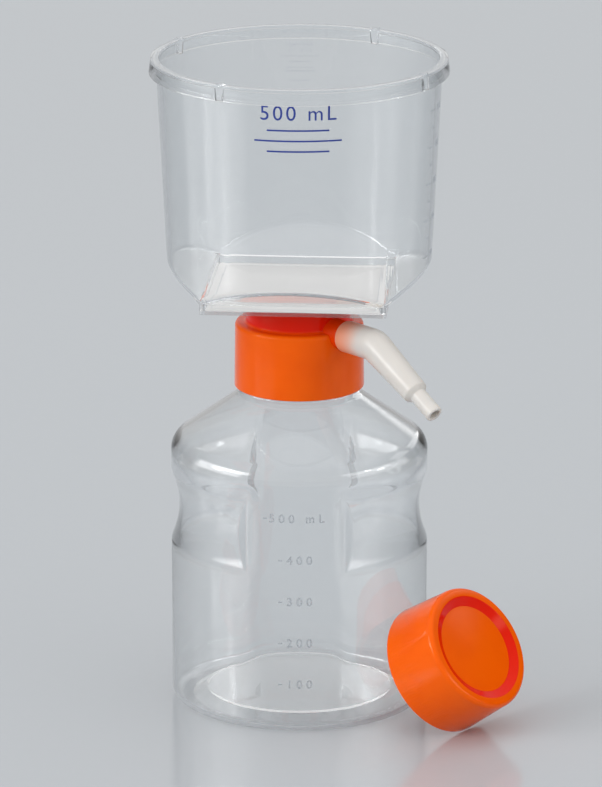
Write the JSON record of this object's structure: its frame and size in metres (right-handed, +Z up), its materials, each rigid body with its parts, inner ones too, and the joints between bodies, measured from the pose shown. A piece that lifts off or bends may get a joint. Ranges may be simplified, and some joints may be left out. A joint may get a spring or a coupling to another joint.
{
  "type": "vacuum filtration unit",
  "caption": "Clear square-based filter funnel screwed by an orange collar onto a round clear storage bottle, with a swivelling hose connector and a spare screw cap leaning beside it.",
  "frame": {"origin": "on the bottle's axis, at the plane that the foot ring stands on", "axes": "+Z up along the bottle's axis, the graduated band of the bottle facing -Y, the finger grips on +X and -X"},
  "size_m": [0.136, 0.1168, 0.2388],
  "materials": {
    "clear_plastic": "clear, glossy, moulded",
    "orange_plastic": "glossy, moulded",
    "natural_plastic": "milky, translucent",
    "white_membrane": "matt, micro-porous sheet",
    "seal_foam": "soft, closed foam"
  },
  "bodies": {
    "bottle": {"bottle": "clear_plastic", "storage_cap": "orange_plastic"},
    "seal": {"neck_seal": "seal_foam"},
    "filter": {"screw_collar": "orange_plastic", "support_plate": "clear_plastic", "membrane": "white_membrane", "funnel": "clear_plastic"},
    "connector": {"hose_connector": "natural_plastic"}
  },
  "joints": [
    {"name": "filter_lift", "type": "slide", "parent": "bottle", "child": "seal", "axis": [0, 0, 1], "range_m": [0, 0.03]},
    {"name": "filter_turn", "type": "hinge", "parent": "seal", "child": "filter", "pos_m": [0, 0, 0.1], "axis": [0, 0, 1], "range_deg": [0, 540]},
    {"name": "hose_swivel", "type": "hinge", "parent": "filter", "child": "connector", "pos_m": [0, 0, 0.14059], "axis": [0.6756, -0.7373, 0], "continuous": true}
  ]
}
